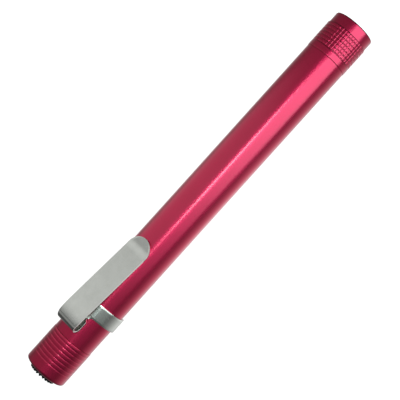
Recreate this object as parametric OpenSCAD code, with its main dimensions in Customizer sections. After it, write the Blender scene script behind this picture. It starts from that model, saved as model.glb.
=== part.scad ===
// Pocket penlight: a slim anodised tube for two slim cells, with a twist-off head,
// a twist-off tail cap that holds a click switch, and a folded spring-steel pocket clip.
// The tube's axis runs along X with the head towards +X, and the clip is on top.
// Places along the tube are called s and are counted from the tail cap's end face.

/* [Cells] */
// Diameter of one cell
cell_d = 10.5; // [10:0.1:11]
// Length of one cell with its nub
cell_len = 44.5; // [40:0.5:50]
// Diameter of a cell's positive nub
nub_d = 3.8; // [3:0.1:4.5]
// Height of a cell's positive nub
nub_len = 0.8; // [0.6:0.1:1.2]
// Gap all round between a cell and the barrel
cell_gap = 0.2; // [0.1:0.05:0.4]

/* [Barrel] */
// Wall of the barrel
barrel_wall = 1.3; // [1.1:0.05:1.6]
// Wall of the threaded spigot at each end of the barrel
spigot_wall = 0.7; // [0.6:0.05:0.9]
// Length of the spigot that takes the head
head_spigot_len = 4.5; // [3.5:0.1:5.5]
// Gap all round between a spigot and the skirt screwed onto it
thread_gap = 0.05; // [0.03:0.01:0.1]
// Chamfer on the edges at both seams
seam_chamfer = 0.15; // [0.05:0.05:0.25]

/* [Seam seals] */
// Section of the O-ring at each seam
seal_d = 0.6; // [0.5:0.05:0.7]
// Depth of the O-ring's groove in the spigot
seal_groove_depth = 0.3; // [0.2:0.05:0.4]
// Gap between an O-ring and the walls of its groove
seal_gap = 0.03; // [0.02:0.01:0.05]

/* [Tail cap] */
// Length of the tail cap
cap_len = 12.5; // [11:0.1:16]
// Wall of the skirts of the cap and the head
skirt_wall = 0.675; // [0.5:0.025:0.8]
// Thickness of the cap's end wall
cap_end_wall = 1.4; // [1:0.1:2]
// Radius of the cap's end edge
cap_edge_r = 0.9; // [0.5:0.1:1.3]
// Place of the first grip groove from the cap's end
cap_groove_start = 3.8; // [2:0.05:5]
// Spacing of the grip grooves
cap_groove_pitch = 1.26; // [1:0.02:1.6]
// Width of a grip groove at its floor
cap_groove_floor = 0.16; // [0.1:0.02:0.3]
// Depth of a grip groove
cap_groove_depth = 0.2; // [0.1:0.02:0.25]
// Plain land left at the cap's mouth
cap_land = 0.5; // [0.4:0.05:1]

/* [Button] */
// Diameter of the push button
button_d = 8.6; // [7.6:0.1:9.4]
// How far the button stands out of the cap
button_proud = 1.3; // [1:0.1:2]
// Travel of the button
button_travel = 1.1; // [0.8:0.1:1.5]
// Gap all round between the button and its hole
button_gap = 0.08; // [0.05:0.01:0.1]
// Width of the flange that keeps the button in the cap
button_flange_w = 0.7; // [0.5:0.05:0.9]
// Thickness of the button's flange
button_flange_t = 0.9; // [0.6:0.1:1.2]
// Teeth on the button's crown
button_teeth = 22; // [16:1:28]
// Depth of the notches between the crown's teeth
button_notch_r = 0.42; // [0.3:0.02:0.5]
// Width of the toothed rim round the dished top
button_rim = 1.1; // [0.8:0.1:1.5]
// Depth of the dished top
button_dish = 0.5; // [0.3:0.1:0.8]

/* [Switch] */
// Thickness of the switch housing's flange
housing_flange_t = 2.6; // [2:0.1:3.5]
// Thickness of the housing's top wall
housing_top_t = 1.4; // [1:0.1:2]
// Radius of the switch's inner chamber
chamber_r = 3.2; // [2.8:0.1:3.6]
// Diameter of the plunger's rod
plunger_d = 4.1; // [3.4:0.1:4.6]
// Thickness of the plunger's cam head
cam_t = 1; // [0.8:0.1:1.4]
// Height of the cam teeth on plunger and rotor
cam_tooth_h = 0.4; // [0.3:0.05:0.6]
// Teeth on the plunger's cam and on the rotor
cam_teeth = 8; // [6:1:10]
// Thickness of the rotor
rotor_t = 1.5; // [1:0.1:2]
// Length of the switch's return spring
switch_spring_len = 3.3; // [2.6:0.1:4]
// Wire of the switch's return spring
switch_wire_d = 0.3; // [0.2:0.05:0.35]
// Thickness of the switch's base plate
base_t = 0.8; // [0.6:0.1:1.2]
// Thickness of the earth washer
earth_t = 0.3; // [0.2:0.05:0.5]
// Thickness of the ring that keeps the switch in the cap
retainer_t = 0.4; // [0.3:0.05:0.8]

/* [Tail spring] */
// Length of the tail spring under load
tail_spring_len = 8; // [6:0.5:11]
// Wire of the tail spring
tail_wire_d = 0.7; // [0.5:0.05:0.8]
// Turns of the tail spring
tail_turns = 5.5; // [4.5:0.5:6.5]

/* [Clip] */
// Thickness of the clip's sheet
clip_sheet = 0.6; // [0.4:0.05:0.7]
// Width of the clip's arm
clip_w = 7.9; // [6:0.1:9]
// Length of the clip from its fold to its tip
clip_len = 33.3; // [26:0.1:45]
// Height of the folded sheet, from the tongue's underside to the arm's top
clip_rise = 4.42; // [3.4:0.02:6]
// Width of the sheet at the fold
clip_fold_w = 6.9; // [5:0.1:8]
// Width of the tongue that lies on the barrel
clip_tongue_w = 6.8; // [5:0.1:7]
// Width of the neck between tongue and ring
clip_neck_w = 4.9; // [3.5:0.1:5.5]
// Length of that neck
clip_neck_len = 1.6; // [1:0.1:2]
// Length from the fold to the ring
clip_tongue_len = 6.1; // [5:0.1:9]
// Length of the tip that turns up
clip_tip_len = 3.9; // [2:0.1:6]
// How far the tip turns up
clip_tip_rise = 0.3; // [0.2:0.05:1]
// Gap between the clip's lowest point and the barrel
clip_tip_gap = 0.15; // [0.1:0.05:0.4]
// Width of the ring that grips the barrel
ring_w = 4.6; // [3.5:0.1:7]
// Open gap in the ring, under the barrel
ring_gap = 8.4; // [7.8:0.1:10]
// Place of the ring from the tail seam
ring_from_seam = 9.3; // [8:0.1:30]
// Gap all round between the ring and the barrel
ring_fit = 0.03; // [0.02:0.01:0.06]

/* [Head] */
// Length of the plain band behind the knurl
head_plain_len = 2; // [1.5:0.1:4]
// Length of the knurled band
knurl_len = 7.2; // [6:0.1:10]
// Length of the plain band in front of the knurl
bezel_len = 3.5; // [3:0.1:6]
// How far the front band is set in from the knurl
bezel_step = 0.2; // [0.1:0.05:0.3]
// Radius of the front edge
bezel_edge_r = 0.4; // [0.2:0.05:0.5]
// Wall of the front band
bezel_wall = 0.975; // [0.7:0.025:1.2]
// Rows of the knurl along the head
knurl_rows = 6; // [4:1:8]
// Bumps in each row of the knurl
knurl_columns = 40; // [30:1:44]
// Width of the knurl's grooves
knurl_groove_w = 0.4; // [0.3:0.05:0.5]
// Depth of the knurl's grooves
knurl_depth = 0.18; // [0.1:0.01:0.2]
// Thickness of the lip that keeps the lens in
lip_t = 1.2; // [0.8:0.1:1.6]
// Width of that lip
lip_w = 0.8; // [0.6:0.05:1.2]

/* [Light] */
// Thickness of the lens
lens_t = 1.2; // [1:0.1:1.6]
// Section of the lens's O-ring
lens_seal_d = 0.4; // [0.3:0.05:0.5]
// Length of the lamp holder in the barrel
holder_len = 15.6; // [10:0.2:24]
// Wall of the lamp holder
holder_wall = 1; // [0.7:0.05:1.3]
// Thickness of the lamp holder's flange
holder_flange_t = 0.6; // [0.5:0.05:0.8]
// Thickness of the lamp's circuit boards
board_t = 1; // [0.8:0.1:1.2]
// Width of the square lamp chip
led_w = 3.5; // [3:0.1:3.6]
// Height of the lamp chip's base
led_t = 0.5; // [0.4:0.05:0.8]
// Radius of the lamp chip's dome
led_dome_r = 1.25; // [1:0.05:1.4]
// Radius of the hole in the reflector
reflector_hole_r = 2.6; // [2.6:0.05:3]
// Width of the reflector's front rim
reflector_rim = 0.45; // [0.3:0.05:0.6]
// Thickness of the front contact
front_contact_t = 0.6; // [0.4:0.1:1]
// Diameter of the front contact
front_contact_d = 4.8; // [4:0.2:6]
// Diameter of a lamp lead
lead_d = 0.8; // [0.5:0.1:1]

/* [Hidden] */
$fn = 64;

// How far each cut runs past the face that it opens
overrun = 0.5;
// Gap round pieces that drop into a bore
slip = 0.05;
// Gap round pieces that are loose in a bore
loose = 0.1;
// Gap between a spring's end and its seat
spring_gap = 0.02;

// Radii of the tube and of what screws onto it
cell_r = cell_d / 2;
bore_r = cell_r + cell_gap;
barrel_r = bore_r + barrel_wall;
spigot_r = bore_r + spigot_wall;
skirt_r = spigot_r + thread_gap;
cap_r = skirt_r + skirt_wall;
head_r = cap_r;
bezel_r = head_r - bezel_step;
seal_groove_r = spigot_r - seal_groove_depth;
seal_seat_r = seal_groove_r + seal_d;
seal_w = seal_d + 2 * seal_gap;

// Radii inside the tail cap
button_r = button_d / 2;
button_hole_r = button_r + button_gap;
button_flange_r = button_hole_r + button_flange_w;
pocket_r = button_flange_r + 2 * loose;
neck_gap = 0.95;
neck_r = bore_r - neck_gap;
socket_r = 1.2;
socket_depth = 1;
plunger_r = plunger_d / 2;
cam_r = chamber_r - 2 * loose;
cam_width = 1;
stud_r = 0.9;
rivet_r = 2.2;
rivet_t = 0.5;
disc_t = 0.3;
retainer_slot_w = 1;
switch_coil_r = 2.5;
switch_turns = 4.5;

// Places inside the tail cap
button_stop_gap = 0.2;
spigot_end_gap = 0.1;
plunger_gap = 0.2;
cam_gap = 0.1;
contact_gap = 0.1;
s_button_back = cap_end_wall + button_flange_t;
s_housing = s_button_back + button_travel + button_stop_gap;
s_neck = s_housing + housing_flange_t;
s_retainer = s_neck + earth_t;
s_pocket_end = s_retainer + retainer_t;
s_tail_spigot = s_pocket_end + spigot_end_gap;
s_chamber = s_housing + housing_top_t;
s_cam = s_chamber + plunger_gap;
s_cam_teeth = s_cam + cam_t;
s_rotor_teeth = s_cam_teeth + cam_tooth_h + cam_gap;
s_rotor = s_rotor_teeth + cam_tooth_h;
s_disc = s_rotor + rotor_t;
s_switch_spring = s_disc + disc_t;
s_stud = s_switch_spring + button_travel + contact_gap;
s_base = s_switch_spring + switch_spring_len;
s_base_end = s_base + base_t;

// Places along the barrel and in the head
s_tail_seam = cap_len;
s_cells = s_base_end + tail_spring_len;
s_front_cell = s_cells + cell_len;
s_front_contact = s_front_cell + cell_len;
s_driver = s_front_contact + front_contact_t;
s_holder = s_driver + board_t;
s_spigot_end = s_holder + holder_len;
s_head_seam = s_spigot_end - head_spigot_len;
s_holder_top = s_spigot_end + holder_flange_t;
head_len = head_plain_len + knurl_len + bezel_len;
s_end = s_head_seam + head_len;
s_lip = s_end - lip_t;
s_lens = s_lip - lens_seal_d - lens_t;
reflector_len = s_lens - s_holder_top;

// Inside of the head and of the lamp holder
head_gap = 0.3;
head_thread_len = head_spigot_len + holder_flange_t + head_gap;
head_bore_r = bezel_r - bezel_wall;
lens_r = head_bore_r - slip;
lip_r = head_bore_r - lip_w;
lens_seal_r = (lip_r + head_bore_r) / 2;
holder_r = bore_r - slip;
holder_flange_r = spigot_r - slip;
recess_wall = 0.35;
recess_r = holder_r - recess_wall;
recess_floor_t = 0.8;
led_board_r = recess_r - slip;
lead_spread = 1.6;
lead_r = lead_d / 2;
tail_coil_r = bore_r - 1.5 * tail_wire_d - cell_gap;
tail_coil_tip_share = 0.66;

// Knurl and grip grooves
cap_groove_count = floor((cap_len - cap_groove_start - cap_land) / cap_groove_pitch) + 1;
knurl_floor = knurl_groove_w - knurl_depth;
knurl_pitch = knurl_len / knurl_rows;

// The clip, with heights counted from the tube's axis
s_ring = s_tail_seam + ring_from_seam;
s_fold = s_ring - clip_tongue_len;
ring_r = barrel_r + ring_fit;
ring_outer_r = ring_r + clip_sheet;
fold_r = clip_rise / 2;
fold_inner_r = fold_r - clip_sheet;
fold_at = [s_fold + fold_r, ring_r + fold_r];
s_tip = s_fold + clip_len;
dip_at = [s_tip - clip_tip_len, barrel_r + clip_tip_gap + clip_sheet];
dip_away = dip_at - fold_at;
// The arm leaves the fold on the line that touches it and passes through the dip
arm_lean = atan2(dip_away[1], dip_away[0]) + acos(fold_r / norm(dip_away));
arm_normal = [cos(arm_lean), sin(arm_lean)];
arm_along = [sin(arm_lean), -cos(arm_lean)];
arm_run = dip_away * arm_along;
// A step in s and height, seen in the arm's own frame: along the arm, and square to it
function in_arm(step) = [step * arm_along, step * arm_normal];

// The object's frame: middle of its length, on the line that it lies on
s_mid = (s_end - button_proud) / 2;
axis_h = max(cap_r, head_r);

// Moves a piece from the tail's frame, axis along Z, to its place s along the tube
module along(s) {
    translate([s - s_mid, 0, axis_h])
        rotate([90, 0, 90])
            children();
}

// A ring or, with no inner radius, a disc
module ring(outer_r, inner_r, len) {
    rotate_extrude()
        translate([inner_r, 0])
            square([outer_r - inner_r, len]);
}

// What a round of radius r takes off the outer corner at the origin of a profile
module corner_cut(r) {
    difference() {
        translate([-r, -overrun])
            square([r + overrun, r + overrun]);
        translate([-r, r])
            circle(r);
        translate([-2 * r, r])
            square([r, r]);
    }
}

// A 45 degree groove into the outside of a profile
module groove_cut(floor_w, depth) {
    reach = depth + overrun;
    polygon([
        [0, -floor_w / 2],
        [reach, -floor_w / 2 - reach],
        [reach, floor_w / 2 + reach],
        [0, floor_w / 2]
    ]);
}

// A 45 degree chamfer off the corner at the origin of a profile, below and outside it
module chamfer_cut(size) {
    polygon([
        [-size - overrun, -overrun],
        [overrun, -overrun],
        [overrun, size + overrun]
    ]);
}

// Wire wound into a spring, with half a turn laid flat at each end
module coil(base_r, tip_r, len, wire_d, turns) {
    wire_r = wire_d / 2;
    sides = 6;
    steps = round(turns * 18);
    flat_share = 0.5 / turns;
    function climb(u) = max(0, min(1, (u - flat_share) / (1 - 2 * flat_share)));
    function wire_point(u, a) =
        let (r = base_r + (tip_r - base_r) * u + wire_r * cos(a), turn = 360 * turns * u)
        [r * cos(turn), r * sin(turn), wire_r + (len - wire_d) * climb(u) + wire_r * sin(a)];
    points = [
        for (i = [0:steps])
            for (j = [0:sides - 1])
                wire_point(i / steps, 90 + 360 * j / sides)
    ];
    function at(i, j) = i * sides + j % sides;
    walls = [
        for (i = [0:steps - 1])
            for (j = [0:sides - 1])
                each [
                    [at(i, j), at(i, j + 1), at(i + 1, j)],
                    [at(i, j + 1), at(i + 1, j + 1), at(i + 1, j)]
                ]
    ];
    start_face = [for (j = [0:sides - 1]) at(0, sides - 1 - j)];
    end_face = [for (j = [0:sides - 1]) at(steps, j)];
    polyhedron(points, concat([start_face], walls, [end_face]));
}

// A crown of cam teeth, each half a pitch wide
module cam_crown() {
    linear_extrude(cam_tooth_h)
        for (i = [0:cam_teeth - 1])
            rotate(i * 360 / cam_teeth)
                intersection() {
                    difference() {
                        circle(cam_r);
                        circle(cam_r - cam_width);
                    }
                    polygon([
                        [0, 0],
                        [2 * cam_r, 0],
                        [2 * cam_r * cos(180 / cam_teeth), 2 * cam_r * sin(180 / cam_teeth)]
                    ]);
                }
}

// A plain slim cell with its positive nub towards the head
module cell() {
    cell_chamfer = 0.4;
    rotate_extrude()
        union() {
            difference() {
                square([cell_r, cell_len - nub_len]);
                translate([cell_r, 0])
                    chamfer_cut(cell_chamfer);
                translate([cell_r, cell_len - nub_len])
                    mirror([0, 1])
                        chamfer_cut(cell_chamfer);
            }
            translate([0, cell_len - nub_len])
                square([nub_d / 2, nub_len]);
        }
}

// The O-ring of a seam, lying in the middle of its groove
module seam_oring() {
    color("#20201f")
        rotate_extrude()
            translate([(seal_groove_r + seal_seat_r) / 2, seal_w / 2])
                circle(seal_d / 2 - seal_gap);
}

// Tube with a threaded spigot at each end, drawn with plain threads
module barrel() {
    tail_len = s_tail_seam - s_tail_spigot;
    color("#a92a48")
        along(s_tail_spigot)
            rotate_extrude()
                translate([0, -s_tail_spigot])
                    difference() {
                        union() {
                            translate([bore_r, s_tail_spigot])
                                square([spigot_wall, tail_len - seal_w]);
                            translate([bore_r, s_tail_seam - seal_w])
                                square([seal_groove_r - bore_r, seal_w]);
                            translate([bore_r, s_tail_seam])
                                square([barrel_wall, s_head_seam - s_tail_seam]);
                            translate([bore_r, s_head_seam])
                                square([seal_groove_r - bore_r, seal_w]);
                            translate([bore_r, s_head_seam + seal_w])
                                square([spigot_wall, head_spigot_len - seal_w]);
                        }
                        translate([spigot_r, s_tail_spigot])
                            chamfer_cut(seam_chamfer);
                        translate([barrel_r, s_tail_seam])
                            chamfer_cut(seam_chamfer);
                        translate([barrel_r, s_head_seam])
                            mirror([0, 1])
                                chamfer_cut(seam_chamfer);
                        translate([spigot_r, s_spigot_end])
                            mirror([0, 1])
                                chamfer_cut(seam_chamfer);
                    }
}

module tail_oring() {
    along(s_tail_seam - seal_w)
        seam_oring();
}

module head_oring() {
    along(s_head_seam)
        seam_oring();
}

module cell_rear() {
    color("#3c4248")
        along(s_cells)
            cell();
}

module cell_front() {
    color("#3c4248")
        along(s_front_cell)
            cell();
}

// Cap with a rounded end, a hole for the button, a pocket for the switch and a row of grip grooves
module tail_cap() {
    color("#a92a48")
        along(0)
            rotate_extrude()
                difference() {
                    square([cap_r, cap_len]);
                    translate([0, -overrun])
                        square([button_hole_r, cap_end_wall + 2 * overrun]);
                    translate([0, cap_end_wall])
                        square([pocket_r, s_pocket_end]);
                    translate([0, s_pocket_end])
                        square([skirt_r, cap_len]);
                    translate([0, cap_len - seal_w])
                        square([seal_seat_r, cap_len]);
                    translate([cap_r, 0])
                        corner_cut(cap_edge_r);
                    translate([cap_r, cap_len])
                        mirror([0, 1])
                            chamfer_cut(seam_chamfer);
                    for (i = [0:cap_groove_count - 1])
                        translate([cap_r - cap_groove_depth, cap_groove_start + i * cap_groove_pitch])
                            groove_cut(cap_groove_floor, cap_groove_depth);
                }
}

// Push button: a stem with a dished, toothed crown, and a flange that keeps it in the cap
module tail_button() {
    color("#1b1b1d")
        along(0)
            difference() {
                rotate_extrude()
                    difference() {
                        union() {
                            translate([0, -button_proud])
                                square([button_r, button_proud + cap_end_wall]);
                            translate([0, cap_end_wall])
                                square([button_flange_r, button_flange_t]);
                        }
                        translate([0, -button_proud - overrun])
                            square([button_r - button_rim, button_dish + overrun]);
                        translate([0, s_button_back - socket_depth])
                            square([socket_r, socket_depth + overrun]);
                    }
                for (i = [0:button_teeth - 1])
                    rotate(i * 360 / button_teeth)
                        translate([button_r - button_rim - overrun, 0, -button_proud])
                            rotate([0, 90, 0])
                                cylinder(r = button_notch_r, h = button_rim + 2 * overrun);
            }
}

// Plunger: a pin in the button, a rod through the housing's top and a cam head below it
module switch_plunger() {
    color("#e8e6df")
        along(0) {
            rotate_extrude()
                union() {
                    translate([0, s_button_back - socket_depth])
                        square([socket_r - slip, socket_depth]);
                    translate([0, s_button_back])
                        square([plunger_r, s_cam - s_button_back]);
                    translate([0, s_cam])
                        square([cam_r, cam_t]);
                }
            translate([0, 0, s_cam_teeth])
                cam_crown();
        }
}

// Rotor that each press turns by one tooth
module switch_rotor() {
    color("#c9c4b4")
        along(s_rotor_teeth) {
            translate([0, 0, cam_tooth_h])
                cylinder(r = cam_r, h = rotor_t);
            cam_crown();
        }
}

module contact_disc() {
    color("#c8a24a")
        along(s_disc)
            cylinder(r = cam_r, h = disc_t);
}

module switch_spring() {
    color("#c3c6c8")
        along(s_switch_spring + spring_gap)
            coil(switch_coil_r, switch_coil_r, switch_spring_len - 2 * spring_gap, switch_wire_d, switch_turns);
}

// Housing with a flange in the cap's pocket and a neck that reaches into the barrel
module switch_housing() {
    color("#2a2a2c")
        along(0)
            rotate_extrude()
                difference() {
                    union() {
                        translate([0, s_housing])
                            square([pocket_r - loose, housing_flange_t]);
                        translate([0, s_neck])
                            square([neck_r, s_base - s_neck]);
                    }
                    translate([0, s_chamber])
                        square([chamber_r, s_base]);
                    translate([0, s_housing - overrun])
                        square([plunger_r + slip, s_base]);
                }
}

module switch_base() {
    color("#3a3632")
        along(s_base)
            ring(neck_r, stud_r + slip, base_t);
}

module earth_ring() {
    color("#c8a24a")
        along(s_neck)
            ring(pocket_r - loose, neck_r + loose, earth_t);
}

// Threaded ring with two spanner slots, drawn with a plain thread
module retaining_ring() {
    color("#b8bcc0")
        along(s_retainer)
            difference() {
                ring(pocket_r - slip, neck_r + loose, retainer_t);
                translate([-pocket_r, -retainer_slot_w / 2, retainer_t / 2])
                    cube([2 * pocket_r, retainer_slot_w, retainer_t]);
            }
}

// Rivet that the contact disc reaches when the button is down, with the tail spring round its head
module tail_contact() {
    color("#c8a24a")
        along(0) {
            translate([0, 0, s_stud])
                cylinder(r = stud_r, h = s_base_end - s_stud);
            translate([0, 0, s_base_end])
                cylinder(r = rivet_r, h = rivet_t);
        }
}

module tail_spring() {
    color("#c3c6c8")
        along(s_base_end + spring_gap)
            coil(tail_coil_r, tail_coil_r * tail_coil_tip_share, tail_spring_len - 2 * spring_gap,
                 tail_wire_d, tail_turns);
}

// The folded sheet's side view is a ring sector: part of the fold inside the wedge
module fold_sector(wedge) {
    intersection() {
        difference() {
            circle(fold_r);
            circle(fold_inner_r);
        }
        polygon(wedge * 2 * fold_r);
    }
}

// A side view in s and height, made as wide as the given width, at its place on the tube
module from_side(width) {
    translate([-s_mid, 0, axis_h])
        rotate([90, 0, 0])
            linear_extrude(width, center = true)
                children();
}

// A side view in the arm's own frame, as wide as the arm
module from_arm_side() {
    from_side(clip_w)
        translate(fold_at)
            rotate(arm_lean - 90)
                children();
}

// A plan view in s and width, as high as the clip, at its place on the tube
module from_above() {
    translate([-s_mid, 0, axis_h])
        linear_extrude(barrel_r + 2 * clip_rise)
            children();
}

// Lower half of the folded sheet: the tongue on the barrel, its neck and the split ring
module clip_ring() {
    color("#b0b3ae") {
        difference() {
            along(s_ring)
                ring(ring_outer_r, ring_r, ring_w);
            translate([s_ring - s_mid - overrun, -ring_gap / 2, axis_h - 2 * ring_outer_r])
                cube([ring_w + 2 * overrun, ring_gap, 2 * ring_outer_r]);
        }
        intersection() {
            from_side(clip_fold_w)
                union() {
                    translate(fold_at)
                        fold_sector([[0, 0], [-1, 0], [-1, -1], [0, -1]]);
                    translate([fold_at[0], ring_r])
                        square([s_ring + clip_sheet - fold_at[0], clip_sheet]);
                }
            from_above()
                polygon([
                    [s_fold - overrun, -clip_fold_w / 2],
                    [s_fold, -clip_fold_w / 2],
                    [fold_at[0], -clip_tongue_w / 2],
                    [s_ring - clip_neck_len, -clip_tongue_w / 2],
                    [s_ring - clip_neck_len, -clip_neck_w / 2],
                    [s_ring + clip_sheet + overrun, -clip_neck_w / 2],
                    [s_ring + clip_sheet + overrun, clip_neck_w / 2],
                    [s_ring - clip_neck_len, clip_neck_w / 2],
                    [s_ring - clip_neck_len, clip_tongue_w / 2],
                    [fold_at[0], clip_tongue_w / 2],
                    [s_fold, clip_fold_w / 2],
                    [s_fold - overrun, clip_fold_w / 2]
                ]);
        }
    }
}

// Upper half of the folded sheet: from the fold down to the dip and up to a round tip
module clip_arm() {
    // A point inside the fold's sheet, so that fold and arm share some sheet
    inside_fold = [-clip_sheet / 2, (fold_r + fold_inner_r) / 2];
    dip = [arm_run, fold_r];
    // The round tip alone ends the arm: the sheet runs on past it here
    tip = dip + in_arm([clip_tip_len, clip_tip_rise]) * (1 + overrun / clip_tip_len);
    under = in_arm([0, -clip_sheet]);
    color("#b0b3ae")
        intersection() {
            union() {
                from_arm_side()
                    fold_sector([[0, 0], in_arm([-1, 0]), [-1, 1], [0, 1]]);
                from_arm_side()
                    polygon([
                        [0, fold_r], dip, tip, tip + under, dip + under, [0, fold_inner_r], inside_fold
                    ]);
            }
            from_above()
                union() {
                    polygon([
                        [s_fold - overrun, -clip_fold_w / 2],
                        [s_fold, -clip_fold_w / 2],
                        [fold_at[0], -clip_w / 2],
                        [s_tip - clip_w / 2, -clip_w / 2],
                        [s_tip - clip_w / 2, clip_w / 2],
                        [fold_at[0], clip_w / 2],
                        [s_fold, clip_fold_w / 2],
                        [s_fold - overrun, clip_fold_w / 2]
                    ]);
                    translate([s_tip - clip_w / 2, 0])
                        circle(clip_w / 2);
                }
        }
}

// Head: plain band, knurled band and plain front band, with the lens's lip inside the front
module head() {
    knurl_start = head_plain_len;
    color("#a92a48")
        along(s_head_seam)
            difference() {
                rotate_extrude()
                    difference() {
                        union() {
                            square([head_r, head_plain_len + knurl_len]);
                            square([bezel_r, head_len]);
                        }
                        translate([0, -overrun])
                            square([seal_seat_r, seal_w + overrun]);
                        translate([0, -overrun])
                            square([skirt_r, head_thread_len + overrun]);
                        translate([0, -overrun])
                            square([head_bore_r, head_len - lip_t + overrun]);
                        translate([0, -overrun])
                            square([lip_r, head_len + 2 * overrun]);
                        translate([head_r, 0])
                            chamfer_cut(seam_chamfer);
                        translate([bezel_r, head_len])
                            mirror([0, 1])
                                corner_cut(bezel_edge_r);
                        translate([head_r, knurl_start + knurl_len])
                            mirror([0, 1])
                                chamfer_cut(knurl_depth);
                        for (i = [0:knurl_rows - 1])
                            translate([head_r - knurl_depth, knurl_start + knurl_groove_w / 2 + i * knurl_pitch])
                                groove_cut(knurl_floor, knurl_depth);
                    }
                translate([0, 0, knurl_start + knurl_groove_w / 2])
                    linear_extrude(knurl_len - knurl_groove_w / 2)
                        for (i = [0:knurl_columns - 1])
                            rotate((i + 1 / 2) * 360 / knurl_columns)
                                translate([head_r - knurl_depth, -knurl_groove_w / 2])
                                    square([knurl_depth + overrun, knurl_groove_w]);
            }
}

module lens() {
    color([0.85, 0.92, 0.95, 0.35])
        along(s_lens)
            cylinder(r = lens_r, h = lens_t);
}

module lens_oring() {
    color("#20201f")
        along(s_lens + lens_t)
            rotate_extrude()
                translate([lens_seal_r, lens_seal_d / 2])
                    circle(lens_seal_d / 2 - spring_gap);
}

// Bowl whose inside widens as a paraboloid from the lamp's hole to the front rim
module reflector() {
    front_r = lens_r - reflector_rim;
    steps = 8;
    function bowl_r(u) = sqrt(reflector_hole_r ^ 2 + (front_r ^ 2 - reflector_hole_r ^ 2) * u);
    color("#d9dcde")
        along(s_holder_top)
            rotate_extrude()
                polygon(concat(
                    [[lens_r, reflector_len], [lens_r, 0]],
                    [for (i = [0:steps]) [bowl_r(i / steps), reflector_len * i / steps]]
                ));
}

module led() {
    color("#f1e7a8")
        along(s_holder_top) {
            translate([-led_w / 2, -led_w / 2, 0])
                cube([led_w, led_w, led_t]);
            translate([0, 0, led_t])
                intersection() {
                    sphere(led_dome_r);
                    cylinder(r = 2 * led_dome_r, h = 2 * led_dome_r);
                }
        }
}

module led_board() {
    color("#f2f2ee")
        along(s_holder_top - board_t)
            cylinder(r = led_board_r, h = board_t);
}

// Holder that carries the lamp's board: a cup with a flange on the barrel's front end
module led_holder() {
    recess_depth = board_t;
    floor_at = holder_len + holder_flange_t - recess_depth - recess_floor_t;
    color("#c8a24a")
        along(s_holder)
            difference() {
                rotate_extrude()
                    difference() {
                        union() {
                            square([holder_r, holder_len]);
                            translate([0, holder_len])
                                square([holder_flange_r, holder_flange_t]);
                        }
                        translate([0, -overrun])
                            square([holder_r - holder_wall, floor_at + overrun]);
                        translate([0, floor_at + recess_floor_t])
                            square([recess_r, recess_depth + overrun]);
                    }
                for (side = [-1, 1])
                    translate([side * lead_spread, 0, floor_at - overrun])
                        cylinder(r = lead_r + slip, h = recess_floor_t + 2 * overrun);
            }
}

// Two straight leads from the driver board to the lamp's board
module led_leads() {
    color("#b8342c")
        along(s_holder)
            for (side = [-1, 1])
                translate([side * lead_spread, 0, 0])
                    cylinder(r = lead_r, h = s_holder_top - board_t - s_holder);
}

module driver_board() {
    color("#2f6b46")
        along(s_driver)
            cylinder(r = bore_r - loose, h = board_t);
}

module front_contact() {
    color("#c8a24a")
        along(s_front_contact)
            cylinder(d = front_contact_d, h = front_contact_t);
}

barrel();
tail_oring();
head_oring();
cell_rear();
cell_front();
tail_cap();
tail_button();
switch_plunger();
switch_rotor();
contact_disc();
switch_spring();
switch_housing();
switch_base();
earth_ring();
retaining_ring();
tail_contact();
tail_spring();
clip_ring();
clip_arm();
head();
lens();
lens_oring();
reflector();
led();
led_board();
led_holder();
led_leads();
driver_board();
front_contact();
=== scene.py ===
"""Looks of a slim anodised penlight: a turned red tube, a grooved tail cap with a toothed button, a knurled head
and a folded clip."""

from math import acos, atan2, cos, degrees, hypot, pi, radians, sin, sqrt, tan

import bpy
from mathutils import Matrix, Vector


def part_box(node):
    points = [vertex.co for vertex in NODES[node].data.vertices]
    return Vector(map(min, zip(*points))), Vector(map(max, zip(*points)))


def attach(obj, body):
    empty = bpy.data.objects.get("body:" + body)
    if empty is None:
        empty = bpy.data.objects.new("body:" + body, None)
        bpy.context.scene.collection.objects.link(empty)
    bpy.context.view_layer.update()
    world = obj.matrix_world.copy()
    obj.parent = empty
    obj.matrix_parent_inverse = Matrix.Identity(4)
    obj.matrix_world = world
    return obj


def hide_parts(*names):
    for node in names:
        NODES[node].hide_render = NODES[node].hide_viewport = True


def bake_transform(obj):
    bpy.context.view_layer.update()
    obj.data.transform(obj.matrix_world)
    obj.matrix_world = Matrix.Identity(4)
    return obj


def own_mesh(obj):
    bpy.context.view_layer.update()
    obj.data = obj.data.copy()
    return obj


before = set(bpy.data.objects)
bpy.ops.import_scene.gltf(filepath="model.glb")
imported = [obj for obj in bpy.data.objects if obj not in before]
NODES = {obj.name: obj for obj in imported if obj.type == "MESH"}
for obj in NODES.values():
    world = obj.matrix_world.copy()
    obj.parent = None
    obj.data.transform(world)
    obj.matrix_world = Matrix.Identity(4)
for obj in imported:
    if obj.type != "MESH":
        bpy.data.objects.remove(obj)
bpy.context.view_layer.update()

# Pieces are modelled in millimetres in the light's own frame, with s along the axis from the cap's end face,
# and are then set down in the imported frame, in metres.
MM = 0.001
TAIL_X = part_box("tail_cap")[0].x
AXIS_Z = (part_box("barrel")[0].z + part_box("barrel")[1].z) / 2


def at(s, y, h):
    """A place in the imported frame, in metres, from a place along, beside and above the axis in millimetres."""
    return Vector((TAIL_X + s * MM, y * MM, AXIS_Z + h * MM))


# Camera: the photograph's view, with the pen's run in the image as a direction to the right and up
MIDDLE_S = 67.05
VIEW_TILT = radians(28.6)
VIEW_DISTANCE = 304.6
AIM_ALONG = 0.6
AIM_RIGHT = 0.25
VIEW_LENS = 93.6
SENSOR_W = 36.0
PEN_RUN = Vector((0.66986, 0.74249))

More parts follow.
